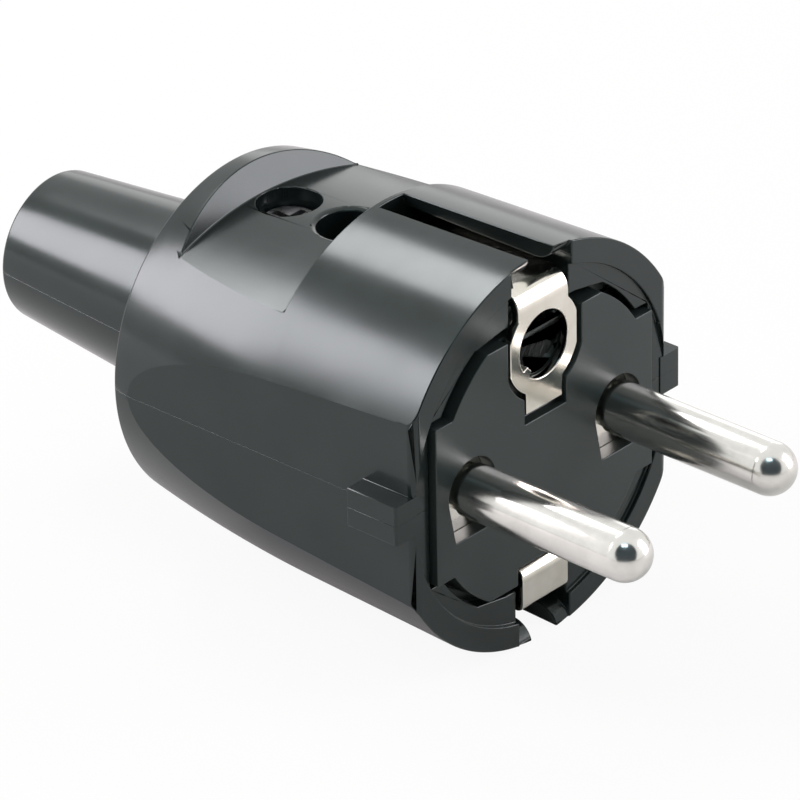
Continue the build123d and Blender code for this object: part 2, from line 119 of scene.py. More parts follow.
def merge_points(obj: Piece, gap: float) -> None:
    """Merge the points of a piece that are nearer than a gap in millimetres."""
    edit(obj)
    bpy.ops.mesh.remove_doubles(threshold=gap * MM)
    leave()


def same(a: float, b: float) -> bool:
    """Whether two places in millimetres are the same."""
    return abs(a - b) < NEAR


def placed(name: str) -> Piece:
    """Name the newest primitive and put its place into its mesh.

    Args:
        name: Name for the object and its mesh.

    Returns:
        The object, at the origin and unturned.
    """
    obj = bpy.context.object
    obj.name = name
    obj.data.name = name
    pick(obj)
    bpy.ops.object.transform_apply(location=True, rotation=True, scale=True)
    return obj


def copied(obj: Piece, name: str) -> Piece:
    """Copy a piece together with its mesh.

    Args:
        obj: Piece to copy.
        name: Name of the copy.

    Returns:
        The copy.
    """
    copy = obj.copy()
    copy.data = obj.data.copy()
    copy.name = name
    bpy.context.scene.collection.objects.link(copy)
    return copy


def block(name: str, low: Point, high: Point) -> Piece:
    """Box between two corners.

    Args:
        name: Name of the piece.
        low: Lowest corner in millimetres.
        high: Highest corner in millimetres.

    Returns:
        The box.
    """
    a, b = Vector(low), Vector(high)
    bpy.ops.object.select_all(action="DESELECT")
    bpy.ops.mesh.primitive_cube_add(size=1.0, location=(a + b) * 0.5 * MM)
    bpy.context.object.scale = (b - a) * MM
    return placed(name)


def rod(name: str, way: Way, radius: float, start: float, end: float,
        centre: Pair = (0.0, 0.0), sides: int = 128) -> Piece:
    """Cylinder along one axis.

    Args:
        name: Name of the piece.
        way: Axis that it runs along.
        radius: Radius in millimetres.
        start: Lower end along the axis.
        end: Upper end along the axis.
        centre: Its place on the two other axes, in their order.
        sides: Number of sides.

    Returns:
        The cylinder.
    """
    middle = (start + end) / 2
    spot = {
        Way.X: (middle, centre[0], centre[1]),
        Way.Y: (centre[0], middle, centre[1]),
        Way.Z: (centre[0], centre[1], middle),
    }[way]
    bpy.ops.object.select_all(action="DESELECT")
    bpy.ops.mesh.primitive_cylinder_add(
        vertices=sides, radius=radius * MM, depth=(end - start) * MM,
        location=Vector(spot) * MM, rotation=way.value,
    )
    return placed(name)


def turned(name: str, outline: Sequence[Pair], sides: int = 192, way: Way = Way.Y,
           centre: Pair = (0.0, 0.0)) -> Piece:
    """Solid of revolution, built ring by ring as on a lathe.

    Args:
        name: Name of the piece.
        outline: Place along the axis and radius of each ring, in millimetres.
        sides: Number of sides round the axis.
        way: Axis that it is turned about, Y or Z.
        centre: Place of the axis.

    Returns:
        The closed solid.
    """
    def on_axis(y: float) -> Vector:
        """Place on the axis in metres."""
        return Vector((centre[0], y, centre[1]) if way is Way.Y else (*centre, y)) * MM

    along, radius = outline[0]
    bpy.ops.object.select_all(action="DESELECT")
    bpy.ops.mesh.primitive_circle_add(
        vertices=sides, radius=radius * MM, fill_type="NGON",
        location=on_axis(along), rotation=way.value,
    )
    obj = placed(name)
    edit(obj)
    for place, wide in outline[1:]:
        step = (place - along) * MM
        grow = wide / radius
        move = (0.0, step, 0.0) if way is Way.Y else (0.0, 0.0, step)
        size = (grow, 1.0, grow) if way is Way.Y else (grow, grow, 1.0)
        bpy.ops.mesh.extrude_region_move(TRANSFORM_OT_translate={"value": move})
        bpy.ops.transform.resize(value=size, center_override=on_axis(place))
        along, radius = place, wide
    close_up()
    return obj


def plate(name: str, outline: Sequence[Pair], low: float, high: float, way: Way = Way.Y) -> Piece:
    """Flat plate of any outline: a disc whose rim is moved onto the outline, then extruded.

    Args:
        name: Name of the piece.
        outline: Corners in order, as X and Z for a plate across Y, or Y and Z for one across X.
        low: Lower face along the axis.
        high: Upper face along the axis.
        way: Axis across the plate, X or Y.

    Returns:
        The closed plate.
    """
    bpy.ops.object.select_all(action="DESELECT")
    bpy.ops.mesh.primitive_circle_add(vertices=len(outline), radius=MM, fill_type="NGON")
    obj = placed(name)
    across = way is Way.X
    for vertex, (u, v) in zip(obj.data.vertices, outline):
        vertex.co = Vector((low, u, v) if across else (u, low, v)) * MM
    step = (high - low) * MM
    move = (step, 0.0, 0.0) if across else (0.0, step, 0.0)
    edit(obj)
    bpy.ops.mesh.extrude_region_move(TRANSFORM_OT_translate={"value": move})
    close_up()
    return obj


def round_points(radius: float, start: float, end: float, steps: int,
                 centre: Pair = (0.0, 0.0)) -> list[Pair]:
    """Points on a circle.

    Args:
        radius: Radius of the circle.
        start: First angle in radians.
        end: Last angle.
        steps: Number of steps between them.
        centre: Middle of the circle.

    Returns:
        The points, both ends included.
    """
    angles = [start + (end - start) * i / steps for i in range(steps + 1)]
    return [(centre[0] + radius * cos(a), centre[1] + radius * sin(a)) for a in angles]


def face_outline(side: float, notch: float, arc_r: float, top: float,
                 lift: Sequence[Pair] = ()) -> list[Pair]:
    """Outline of the engagement face: a disc cut at top and bottom, with wings between its notches.

    Args:
        side: Half width of the wings.
        notch: Half height of the wings.
        arc_r: Radius of the disc.
        top: Half height of the disc.
        lift: Further corners between the disc and the middle of its top edge.

    Returns:
        The outline as X and Z.
    """
    steps = 14
    low, high = (acos(sqrt(arc_r ** 2 - z ** 2) / arc_r) for z in (notch, top))
    quarter = [(side, notch), *round_points(arc_r, low, high, steps), *lift]
    upper = quarter + [(-x, z) for x, z in reversed(quarter)]
    return upper + [(-x, -z) for x, z in upper]


def combine(target: Piece, tool: Piece, how: Join = Join.CUT) -> None:
    """Cut, add or intersect a tool with a target, and use the tool up.

    Args:
        target: Object that changes.
        tool: Object that is used and removed.
        how: Kind of combination.
    """
    change = target.modifiers.new(how.name.lower(), "BOOLEAN")
    change.operation = how.value
    change.solver = "EXACT"
    change.object = tool
    pick(target)
    bpy.ops.object.modifier_apply(modifier=change.name)
    bpy.data.objects.remove(tool, do_unlink=True)


def turning_edges(mesh: bpy.types.Mesh, sharper: float,
                  blunter: float = STRAIGHT) -> Iterator[tuple[bpy.types.MeshEdge, Vector, Vector]]:
    """Find the edges that turn by an angle within two limits.

    Args:
        mesh: Mesh to look at.
        sharper: Only edges that turn by more than this many degrees.
        blunter: And by less than this many.

    Yields:
        The edge and its two ends in millimetres.
    """
    normals: dict[tuple[int, int], list[Vector]] = {}
    for face in mesh.polygons:
        for key in face.edge_keys:
            normals.setdefault(key, []).append(face.normal)
    turns = {key: n[0].angle(n[1], 0.0) for key, n in normals.items() if len(n) == 2}
    for edge in mesh.edges:
        if radians(sharper) < turns.get(edge.key, 0.0) < radians(blunter):
            a, b = (mesh.vertices[i].co / MM for i in edge.vertices)
            yield edge, a, b


def round_where(obj: Piece, width: float, steps: int,
                test: Callable[[Vector, Vector], bool], sharper: float = 20.0) -> None:
    """Round the sharp edges that pass a test.

    Args:
        obj: Piece to change.
        width: Width of the rounding in millimetres.
        steps: Number of strips in the rounding.
        test: Takes the two ends of an edge in millimetres.
        sharper: Only edges that turn by more than this many degrees.
    """
    bpy.context.tool_settings.mesh_select_mode = (False, True, False)
    edit(obj, "DESELECT")
    leave()
    for edge, a, b in turning_edges(obj.data, sharper):
        edge.select = test(a, b)
    bpy.ops.object.mode_set(mode="EDIT")
    bpy.ops.mesh.bevel(offset=width * MM, offset_type="OFFSET", segments=steps,
                       profile=0.5, affect="EDGES", clamp_overlap=False)
    leave()


def soften_edges(obj: Piece, width: float, steps: int = 2, sharper: float = 30.0,
                 share: Callable[[Vector, Vector], float] | None = None,
                 merge: float = 0.012) -> None:
    """Give sharp edges a fine rounding.

    Args:
        obj: Piece to change.
        width: Width of the rounding in millimetres.
        steps: Number of strips in it.
        sharper: Only edges that turn by more than this many degrees.
        share: Takes the two ends of an edge in millimetres and gives its share of the width,
            nought for an edge that stays crisp; None gives every edge the full width.
        merge: Points nearer than this many millimetres become one first.
    """
    merge_points(obj, merge)
    mesh = obj.data
    name = "bevel_weight_edge"
    weights = mesh.attributes.get(name) or mesh.attributes.new(name, "FLOAT", "EDGE")
    for edge, a, b in turning_edges(mesh, sharper):
        taken = share(a, b) if share else 1.0
        weights.data[edge.index].value = taken
        edge.use_edge_sharp = not taken
    change = obj.modifiers.new("edges", "BEVEL")
    change.width = width * MM
    change.segments = steps
    change.limit_method = "WEIGHT"
    change.use_clamp_overlap = False
    change.miter_outer = "MITER_ARC"
    bpy.ops.object.modifier_apply(modifier=change.name)
    mesh.attributes.remove(mesh.attributes[name])


def crease(obj: Piece, sharper: float, blunter: float, test: Callable[[Vector], bool]) -> None:
    """Mark blunt edges that stay crisp when the piece is shaded.

    Args:
        obj: Piece to mark.
        sharper: Only edges that turn by more than this many degrees.
        blunter: And by less than this many.
        test: Takes the middle of an edge in millimetres.
    """
    for edge, a, b in turning_edges(obj.data, sharper, blunter):
        if test((a + b) / 2):
            edge.use_edge_sharp = True


def shade(obj: Piece, skin: Piece | None = None,
          on_skin: Callable[[Vector], bool] | None = None) -> None:
    """Shade a piece smoothly, its large faces flat.

    Args:
        obj: Piece to shade.
        skin: Uncut form whose shading the curved skin takes over, or None.
        on_skin: Tells whether a point, in millimetres, lies on that skin.
    """
    pick(obj)
    bpy.ops.object.shade_smooth()
    weigh = obj.modifiers.new("shading", "WEIGHTED_NORMAL")
    weigh.mode = "FACE_AREA"
    weigh.weight = 60  # Above 50, large faces count for more
    weigh.keep_sharp = True
    bpy.ops.object.modifier_apply(modifier=weigh.name)
    if skin and on_skin:
        creased = {i for edge in obj.data.edges if edge.use_edge_sharp for i in edge.vertices}
        clear = [v for v in obj.data.vertices if v.index not in creased]
        group = obj.vertex_groups.new(name="skin")
        group.add([v.index for v in clear if on_skin(v.co / MM)], 1.0, "REPLACE")
        take = obj.modifiers.new("skin", "DATA_TRANSFER")
        take.object = skin
        take.use_loop_data = True
        take.data_types_loops = {"CUSTOM_NORMAL"}
        take.loop_mapping = "POLYINTERP_NEAREST"
        take.vertex_group = group.name
        bpy.ops.object.modifier_apply(modifier=take.name)
        obj.vertex_groups.clear()


def seat(piece: Piece, finish: bpy.types.Material, node: str) -> None:
    """Dress a finished piece and let it stand for its CAD node.

    Args:
        piece: The piece.
        finish: Its material.
        node: Node that it replaces.
    """
    dress(piece, finish)
    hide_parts(node)
    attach(piece, "root")
    log.info("%s: %d faces", piece.name, len(piece.data.polygons))


def arc_through(a: Pair, b: Pair, c: Pair, steps: int) -> list[Pair]:
    """Points on the upper side of the circle through three points.

    Args:
        a: First point.
        b: A point between.
        c: Last point.
        steps: Number of steps.

    Returns:
        The points after the first, the last included.
    """
    d = 2 * (a[0] * (b[1] - c[1]) + b[0] * (c[1] - a[1]) + c[0] * (a[1] - b[1]))
    sa, sb, sc = (p[0] ** 2 + p[1] ** 2 for p in (a, b, c))
    ox = (sa * (b[1] - c[1]) + sb * (c[1] - a[1]) + sc * (a[1] - b[1])) / d
    oy = (sa * (c[0] - b[0]) + sb * (a[0] - c[0]) + sc * (b[0] - a[0])) / d
    radius = hypot(a[0] - ox, a[1] - oy)
    places = [a[0] + (c[0] - a[0]) * i / steps for i in range(1, steps + 1)]
    return [(x, oy + (radius ** 2 - (x - ox) ** 2) ** 0.5) for x in places]


def straight_to(a: Pair, b: Pair, steps: int) -> list[Pair]:
    """Points on the straight line from one point to another.

    Args:
        a: First point.
        b: Last point.
        steps: Number of steps.

    Returns:
        The points after the first, the last included.
    """
    shares = [i / steps for i in range(1, steps + 1)]
    return [(a[0] + (b[0] - a[0]) * t, a[1] + (b[1] - a[1]) * t) for t in shares]


class Nodes:
    """Node tree of a material or of the world, with short calls for its nodes."""

    def __init__(self, owner: bpy.types.Material | bpy.types.World) -> None:
        """Turn the owner's nodes on."""
        owner.use_nodes = True
        self.tree = owner.node_tree

    def give(self, node: bpy.types.Node, name: str | int, value: float | Colour | Source) -> None:
        """Give an input of a node its value.

        Args:
            node: The node.
            name: Name or number of the input.
            value: A number, a colour or scale, or the output that feeds it.
        """
        socket = node.inputs[name]
        if isinstance(value, Source):
            self.tree.links.new(value, socket)
        elif isinstance(value, tuple) and socket.type == "RGBA":
            socket.default_value = (*value, 1.0)
        else:
            socket.default_value = value

    def add(self, kind: str, inputs: dict[str | int, float | Colour | Source],
            **settings: str) -> bpy.types.Node:
        """Add a node.

        Args:
            kind: Blender's name for it, after ShaderNode.
            inputs: What each input is given.
            settings: Its own settings.

        Returns:
            The node.
        """
        node = self.tree.nodes.new("ShaderNode" + kind)
        for name, value in settings.items():
            setattr(node, name, value)
        for name, value in inputs.items():
            self.give(node, name, value)
        return node

    def maths(self, operation: str, a: Source, b: float | Source) -> Source:
        """Result of one sum, by Blender's name of the operation."""
        return self.add("Math", {0: a, 1: b}, operation=operation).outputs["Value"]

    def spread(self, value: Source, low: float, high: float, out: Pair = (0.0, 1.0)) -> Source:
        """Map one span of a value onto another, clamped.

        Args:
            value: Value to map.
            low: Where the span starts.
            high: Where it ends.
            out: Results at its start and end.

        Returns:
            The mapped value.
        """
        inputs = {"From Min": low, "From Max": high, "To Min": out[0], "To Max": out[1]}
        return self.add("MapRange", {**inputs, "Value": value}).outputs["Result"]


class Surface(Nodes):
    """Node tree of a surface, around its Principled shader."""

    def __init__(self, name: str) -> None:
        """Start a material with only its output and the shader."""
        self.material = bpy.data.materials.new(name)
        super().__init__(self.material)
        self.shader = self.tree.nodes["Principled BSDF"]

    def noise(self, scale: float, detail: float, roughness: float,
              stretch: Point | None = None) -> Source:
        """Noise between nought and one on object coordinates.

        Args:
            scale: Cells to the metre.
            detail: Number of octaves.
            roughness: Strength of the finer octaves.
            stretch: Factor on X, Y and Z, or None for even noise.

        Returns:
            The noise value.
        """
        where = self.add("TexCoord", {}).outputs["Object"]
        if stretch:
            where = self.add("Mapping", {"Scale": stretch, "Vector": where}).outputs["Vector"]
        inputs = {"Scale": scale, "Detail": detail, "Roughness": roughness, "Vector": where}
        return self.add("TexNoise", inputs).outputs["Fac"]

    def blend(self, factor: Source, a: Colour, b: Colour) -> Source:
        """Colour between two others, nought for the first and one for the second."""
        mix = self.add("Mix", {"A": a, "B": b, "Factor": factor}, data_type="RGBA")
        return mix.outputs["Result"]

    def relief(self, height: Source, depth: float, strength: float = 1.0,
               after: Source | None = None) -> Source:
        """Bump from a height.

        Args:
            height: Height from nought to one.
            depth: Depth of the relief in millimetres.
            strength: How much of it shows.
            after: Normal that it is added to, or None.

        Returns:
            The new normal.
        """
        inputs = {"Distance": depth * MM, "Strength": strength, "Height": height}
        if after:
            inputs["Normal"] = after
        return self.add("Bump", inputs).outputs["Normal"]

    def finish(self, **inputs: float | Colour | Source) -> bpy.types.Material:
        """Give the shader its inputs, with _ for a space in their names.

        Args:
            inputs: Number, colour or source of each input.

        Returns:
            The finished material.
        """
        for name, value in inputs.items():
            self.give(self.shader, name.replace("_", " "), value)
        return self.material


@dataclass(frozen=True)
class Plastic:
    """Moulded black plastic with a handled, finely scuffed surface."""

    name: str
    dark: Colour
    pale: Colour
    gloss: float
    grain: float
    scuffs: float
    wave: float = 0.045
    sheen: Colour = (0.88, 1.0, 0.97)

    def make(self) -> bpy.types.Material:
        """Build the material.

        Returns:
            The finished material.
        """
        n = Surface(self.name)  # Noises: cells to the metre, octaves, strength of the finer ones
        cloud = n.noise(160.0, 4.0, 0.55)
        grain = n.noise(3200.0, 3.0, 0.6)
        wave = n.noise(110.0, 1.0, 0.5, (1.0, 0.4, 1.0))
        hairs = n.spread(n.noise(2600.0, 2.0, 0.6, (1.0, 0.012, 1.0)), 0.68, 0.73)
        rubs = n.spread(n.noise(1900.0, 2.0, 0.6, (0.02, 1.0, 0.02)), 0.68, 0.76)
        handled = n.spread(n.noise(75.0, 2.0, 0.5), 0.5, 0.62)
        worn = n.maths("MULTIPLY", n.maths("MAXIMUM", hairs, rubs), handled)
        even = n.spread(cloud, 0.3, 0.7, (self.gloss - 0.02, self.gloss + 0.03))
        return n.finish(
            Base_Color=n.blend(n.spread(cloud, 0.3, 0.7), self.dark, self.pale),
            Roughness=n.maths("ADD", even, n.maths("MULTIPLY", worn, self.scuffs)),
            Normal=n.relief(grain, self.grain, 0.6, n.relief(wave, self.wave)),
            IOR=1.5,
            Specular_Tint=self.sheen,
        )


@dataclass(frozen=True)
class Metal:
    """Plated or turned metal with drawing marks along one axis."""

    name: str
    bright: Colour
    dull: Colour
    gloss: float
    lines: Point
    depth: float

    def make(self) -> bpy.types.Material:
        """Build the material.

        Returns:
            The finished material.
        """
        n = Surface(self.name)
        cloud = n.noise(350.0, 4.0, 0.6)
        marks = n.noise(1500.0, 5.0, 0.75, self.lines)
        drawn = n.spread(marks, 0.3, 0.7, (self.gloss * 0.7, self.gloss * 1.3))
        return n.finish(
            Base_Color=n.blend(n.spread(cloud, 0.35, 0.7), self.bright, self.dull),
            Roughness=n.maths("ADD", drawn, n.spread(cloud, 0.5, 0.8, (0.0, 0.08))),
            Normal=n.relief(marks, self.depth, 0.7),
            Metallic=1.0,
        )


SHELL = Plastic(
    "shell black", dark=(0.006, 0.009, 0.0085), pale=(0.009, 0.0135, 0.0128),
    gloss=0.195, grain=0.0008, scuffs=0.05,
)
CARRIER = Plastic(
    "carrier black", dark=(0.0135, 0.0185, 0.0175), pale=(0.018, 0.024, 0.0225),
    gloss=0.3, grain=0.0015, scuffs=0.1, wave=0.012,
)
CLAMP = Plastic(
    "clamp grey", dark=(0.16, 0.16, 0.16), pale=(0.22, 0.22, 0.21),
    gloss=0.45, grain=0.003, scuffs=0.1, wave=0.012, sheen=(1.0, 1.0, 1.0),
)
PIN = Metal(
    "pin nickel", bright=(0.80, 0.79, 0.75), dull=(0.68, 0.67, 0.63),
    gloss=0.17, lines=(1.0, 0.03, 1.0), depth=0.0008,
)
BLOCK = Metal(
    "block nickel", bright=(0.88, 0.86, 0.78), dull=(0.80, 0.77, 0.69),
    gloss=0.1, lines=(1.0, 1.0, 0.1), depth=0.0005,
)
SLEEVE = Metal(
    "sleeve nickel", bright=(0.82, 0.80, 0.74), dull=(0.72, 0.70, 0.64),
    gloss=0.38, lines=(1.0, 0.1, 1.0), depth=0.0008,
)
STRIP = Metal(
    "strip nickel", bright=(0.82, 0.79, 0.71), dull=(0.70, 0.67, 0.58),
    gloss=0.13, lines=(0.1, 1.0, 1.0), depth=0.0006,
)
BRASS = Metal(
    "insert brass", bright=(0.78, 0.6, 0.32), dull=(0.62, 0.46, 0.22),
    gloss=0.25, lines=(1.0, 1.0, 0.1), depth=0.002,
)
ZINC = Metal(
    "screw zinc", bright=(0.5, 0.5, 0.5), dull=(0.36, 0.36, 0.37),
    gloss=0.3, lines=(1.0, 1.0, 1.0), depth=0.002,
)


def dress(obj: Piece, finish: bpy.types.Material) -> None:
    """Give a piece one material."""
    if obj.data.materials:
        for number in range(len(obj.material_slots)):
            obj.material_slots[number].material = finish
    else:
        obj.data.materials.append(finish)


@dataclass(frozen=True)
class Hole:
    """Round hole or boss that stands on the line of one of the two housing screws."""

    name: str
    radius: float
    low: float
    high: float
    rear: bool = False
    sides: int = 48

    def make(self, screw_y: Pair) -> Piece:
        """Its rod, given the places of the front and the rear screw."""
        spot = (0.0, screw_y[self.rear])
        return rod(self.name, Way.Z, self.radius, self.low, self.high, spot, self.sides)


@dataclass
class Shells:
    """The two half shells that make the body, its flats, finger pegs and the tail."""

    rim_y: float = 0.3
    step_y: float = 0.7
    step_r: float = 16.4
    front_r: float = 18.67
    straight_end: Pair = (16.3, 18.1)
    shoulder: Pair = (28.3, 17.2)
    back: Pair = (35.6, 16.15)
    back_round: float = 0.3
    tail_r: float = 9.0
    tail_end: Pair = (58.3, 7.0)
    tail_round: float = 0.35
    straight_rings: int = 8
    curved_rings: int = 12
    cord_bore: Sequence[Pair] = (
        (32.0, 6.6), (37.6, 6.6), (49.3, 4.8), (57.6, 4.8), (58.3, 5.5), (60.0, 5.5),
    )
    opening: tuple[float, float, float, float] = (14.25, 7.92, 14.83, 12.35)
    opening_lift: Sequence[Pair] = ((8.0, 12.35), (4.6, 12.95))
    opening_y: Pair = (-2.0, 2.8)
    flat_x: float = 16.47
    flat_round: float = 0.8
    peg_out: float = 2.05
    peg_root: float = 0.6
    peg_y: Pair = (0.6, 6.2)
    peg_half: float = 1.86
    peg_round: float = 0.35
    fine_round: float = 0.13
    crease_turn: Pair = (6.0, 30.0)
    wall: float = 2.2
    space_front: Pair = (2.7, 16.3)
    space_back_r: float = 14.05
    space_half: float = 14.45
    roof: float = 2.0
    roof_end: float = 1.6
    trough_half: float = 4.7
    trough_z: Pair = (13.5, 17.3)
    trough_end: float = 18.9
    seam_half: float = 0.005
    seam_share: float = 0.35
    saddle_y: Pair = (17.9, 32.3)
    saddle_r: float = 42.0
    saddle_z: float = 14.05
    saddle_tilt: float = 2.3
    saddle_lean: float = 24.0
    core_length: float = 80.0
    core_sides: int = 1440
    lean_z: float = 13.9
    screw_y: Pair = (22.2, 29.3)
    well_r: float = 2.9
    well_low: float = 3.4
    well_high: float = 22.0
    ring_r: float = 3.6
    ring_rise: float = 0.15
    bosses: Sequence[Hole] = (
        Hole("upper_boss", 4.4, 0.1, 20, sides=64),
        Hole("clamp_boss", 4.4, 5.6, 20, True, 64),
        Hole("lower_boss", 4.4, -20, -0.1, sides=64),
    )
    holes: Sequence[Hole] = (
        Hole("clamp_well", 2.9, 10.2, 22.0, True, 96),
        Hole("housing_hole", 1.85, -0.5, 5.0),
        Hole("clamp_hole", 2.05, 5.0, 12.0, True),
        Hole("insert_pocket", 2.75, -9.0, 0.5),
    )
    lip_half: float = 1.6
    lip_z: float = 16.7
    lip_r: float = 2.2
    slot_half: Pair = (3.85, 3.3)
    slot_z: Pair = (14.35, 16.9)
    slot_end: float = 17.3
    slot_front: Pair = (12.0, 2.7)  # Distance from the middle plane, and end along Y
    mouth: Pair = (19.1, 2.5)  # The same
    slot_top: float = 22.0

    def outline(self) -> list[Pair]:
        """Turned outline of rim step, barrel and tail, as place along Y and radius."""
        front = (self.rim_y, self.front_r)
        foot = (self.back[0], self.tail_r)
        return [
            (self.step_y, self.step_r), (self.rim_y, self.step_r), front,
            *straight_to(front, self.straight_end, self.straight_rings),
            *arc_through(self.straight_end, self.shoulder, self.back, self.curved_rings),
            foot, *straight_to(foot, self.tail_end, self.straight_rings),
        ]

    def skin_radius(self, y: float) -> float:
        """Radius of the turned outline at one place along it."""
        outline = self.outline()
        for (y0, r0), (y1, r1) in zip(outline, outline[1:]):
            if y0 <= y <= y1 and y1 > y0:
                return r0 + (r1 - r0) * (y - y0) / (y1 - y0)
        return -1.0

    def on_skin(self, point: Vector) -> bool:
        """Whether a point lies on the turned barrel or tail, or on the saddle's floor.

        Args:
            point: The point in millimetres.

        Returns:
            True if it does, clear of the edges of the turned form.
        """
        miss, top_half = 0.006, 10
        rim_clear, back_clear, end_clear = 0.05, 0.4, 0.5
        tilt = radians(self.saddle_tilt)
        reach = point - self.core_middle()
        reach -= reach.project(Vector((0, cos(tilt), -sin(tilt))))
        if abs(reach.length - self.saddle_r) < miss and point.z > top_half:
            return True
        if (point.y < self.rim_y + rim_clear or point.y > self.tail_end[0] - end_clear
                or abs(point.y - self.back[0]) < back_clear):
            return False
        return abs(hypot(point.x, point.z) - self.skin_radius(point.y)) < miss

    def outer(self) -> Piece:
        """Outer form of both shells together, still solid.

        Returns:
            The body with its flats, rim step and finger pegs.
        """
        body = turned("shell_body", self.outline())
        round_where(
            body, self.back_round, ROUND_STEPS,
            lambda a, b: same(a.y, self.back[0]) and hypot(a.x, a.z) > self.tail_r + NEAR,
        )
        round_where(body, self.tail_round, ROUND_STEPS, lambda a, b: same(a.y, self.tail_end[0]))
        sides = block("flats", (-self.flat_x, self.rim_y, -FAR), (self.flat_x, BEHIND, FAR))
        round_where(
            sides, self.flat_round, 2 * ROUND_STEPS,
            lambda a, b: same(a.y, self.rim_y) and same(b.y, self.rim_y) and same(a.x, b.x),
        )
        combine(body, sides, Join.KEEP)
        for side in (-1, 1):
            combine(body, self.peg(side), Join.ADD)
        return body

    def peg(self, side: int) -> Piece:
        """Finger peg on one flat.

        Args:
            side: Minus one for the left, one for the right.

        Returns:
            The peg.
        """
        outer = side * (self.flat_x + self.peg_out)
        x0, x1 = sorted((side * (self.flat_x - self.peg_root), outer))
        y0, y1 = self.peg_y
        peg = block("peg", (x0, y0, -self.peg_half), (x1, y1, self.peg_half))
        round_where(
            peg, self.peg_round, ROUND_STEPS,
            lambda a, b: same(a.x, outer) and same(b.x, outer) and same(a.y, y0) and same(b.y, y0),
        )
        return peg

    def saddle_space(self, drop: float, y0: float, y1: float) -> Piece:
        """Space above the crowned saddle floor, or above a face lower than it.

        Args:
            drop: How much lower.
            y0: Front end.
            y1: Rear end at the foot of the leaning rear wall.

        Returns:
            The space as a solid.
        """
        low = 4.0
        lean = tan(radians(self.saddle_lean))
        foot, brow = (y1 + (z - self.lean_z) * lean for z in (low, FAR))
        side = [(y0, low), (foot, low), (brow, FAR), (y0, FAR)]
        space = plate("saddle_space", side, -FAR, FAR, Way.X)
        combine(space, self.saddle_core(self.saddle_r - drop))
        return space

    def saddle_core(self, radius: float) -> Piece:
        """Large tilted cylinder whose top is the saddle's crowned floor.

        Args:
            radius: Its radius.

        Returns:
            The cylinder.
        """
        bpy.ops.object.select_all(action="DESELECT")
        bpy.ops.mesh.primitive_cylinder_add(
            vertices=self.core_sides, radius=radius * MM, depth=self.core_length * MM,
            location=self.core_middle() * MM, rotation=(radians(90 - self.saddle_tilt), 0, 0),
        )
        return placed("saddle_core")

    def core_middle(self) -> Vector:
        """Middle of the saddle's cylinder, in millimetres."""
        return Vector((0, sum(self.screw_y) / 2, self.saddle_z - self.saddle_r))

    def wiring_space(self) -> Piece:
        """Hollow of the body, less the troughs, the skin under the saddle and the screw bosses.

        Returns:
            The hollow as a solid to cut away.
        """
        space = turned("wiring_space", [
            self.space_front,
            (self.straight_end[0], self.straight_end[1] - self.wall),
            (self.shoulder[0], self.shoulder[1] - self.wall),
            (self.back[0] - self.wall, self.space_back_r),
        ], sides=96)
        half, deep = self.space_half, self.trough_half
        combine(space, block("sides", (-half, AHEAD, -FAR), (half, BEHIND, FAR)), Join.KEEP)
        y0, y1 = self.saddle_y
        combine(space, self.saddle_space(self.roof, y0 - self.roof_end, y1 + self.roof_end))
        for up in (-1, 1):
            z0, z1 = sorted(up * z for z in self.trough_z)
            combine(space, block("trough", (-deep, AHEAD, z0), (deep, self.trough_end, z1)))
        for boss in self.bosses:
            combine(space, boss.make(self.screw_y))
        return space

    def earth_slot(self, up: int) -> list[Piece]:
        """Undercut slot for the earth clip of the socket, with its rounded mouth.

        Args:
            up: One for the top slot, minus one for the bottom slot.

        Returns:
            The solids to cut away.
        """
        half = self.slot_half[0 if up > 0 else 1]
        low, high = self.slot_z
        front_z, front_end = self.slot_front
        mouth_z, mouth_end = self.mouth

        def space(name: str, wide: float, end: float, near: float, far: float) -> Piece:
            """Box from before the rim to its end, between two distances from the middle plane."""
            z0, z1 = sorted((up * near, up * far))
            return block(name, (-wide, -2, z0), (wide, end, z1))

        front = space("slot_front", half, front_end, front_z, high)
        channel = space("slot_channel", half, self.slot_end, low, high)
        gap = space("slot_gap", self.lip_half, self.slot_end, self.lip_z, self.slot_top)
        mouth = space("slot_mouth", half, mouth_end, self.lip_z, mouth_z)
        spot = (mouth_end, up * mouth_z)
        combine(mouth, rod("lip_round", Way.X, self.lip_r, -8, 8, spot, sides=64))
        return [front, channel, gap, mouth]

    def screw_holes(self) -> list[Piece]:
        """Wells, holes and insert pocket of the two screws.

        Returns:
            The solids to cut away.
        """
        ring_z = self.saddle_z + self.ring_rise
        ring_low = ring_z - (self.ring_r - self.well_r) / 2
        well = turned("housing_well", [
            (self.well_low, self.well_r), (ring_low, self.well_r),
            (ring_z, self.ring_r), (self.well_high, self.ring_r),
        ], sides=96, way=Way.Z, centre=(0, self.screw_y[0]))
        return [well, *(hole.make(self.screw_y) for hole in self.holes)]

    def crisp(self, middle: Vector) -> bool:
        """Whether a blunt edge stays crisp.

        Args:
            middle: Middle of the edge in millimetres.

        Returns:
            True along the flats, and where the saddle's floor meets the barrel.
        """
        clear_x, top_half = 5, 10
        if same(abs(middle.x), self.flat_x):
            return True
        on_saddle = self.saddle_y[0] < middle.y < self.saddle_y[1]
        return on_saddle and clear_x < abs(middle.x) and middle.z > top_half

    def softness(self, a: Vector, b: Vector) -> float:
        """Share of the fine rounding that an edge gets.

        Args:
            a: One end of the edge in millimetres.
            b: The other end.

        Returns:
            Less at the seam, and none where the rim step runs out on the flats.
        """
        rim_end, flat_start, flat_half, seam = 1.3, 15.3, 6.0, 0.02
        middle = (a + b) / 2
        if middle.y < rim_end and abs(middle.x) > flat_start and abs(middle.z) < flat_half:
            return 0.0
        return self.seam_share if abs(a.z) < seam and abs(b.z) < seam else 1.0

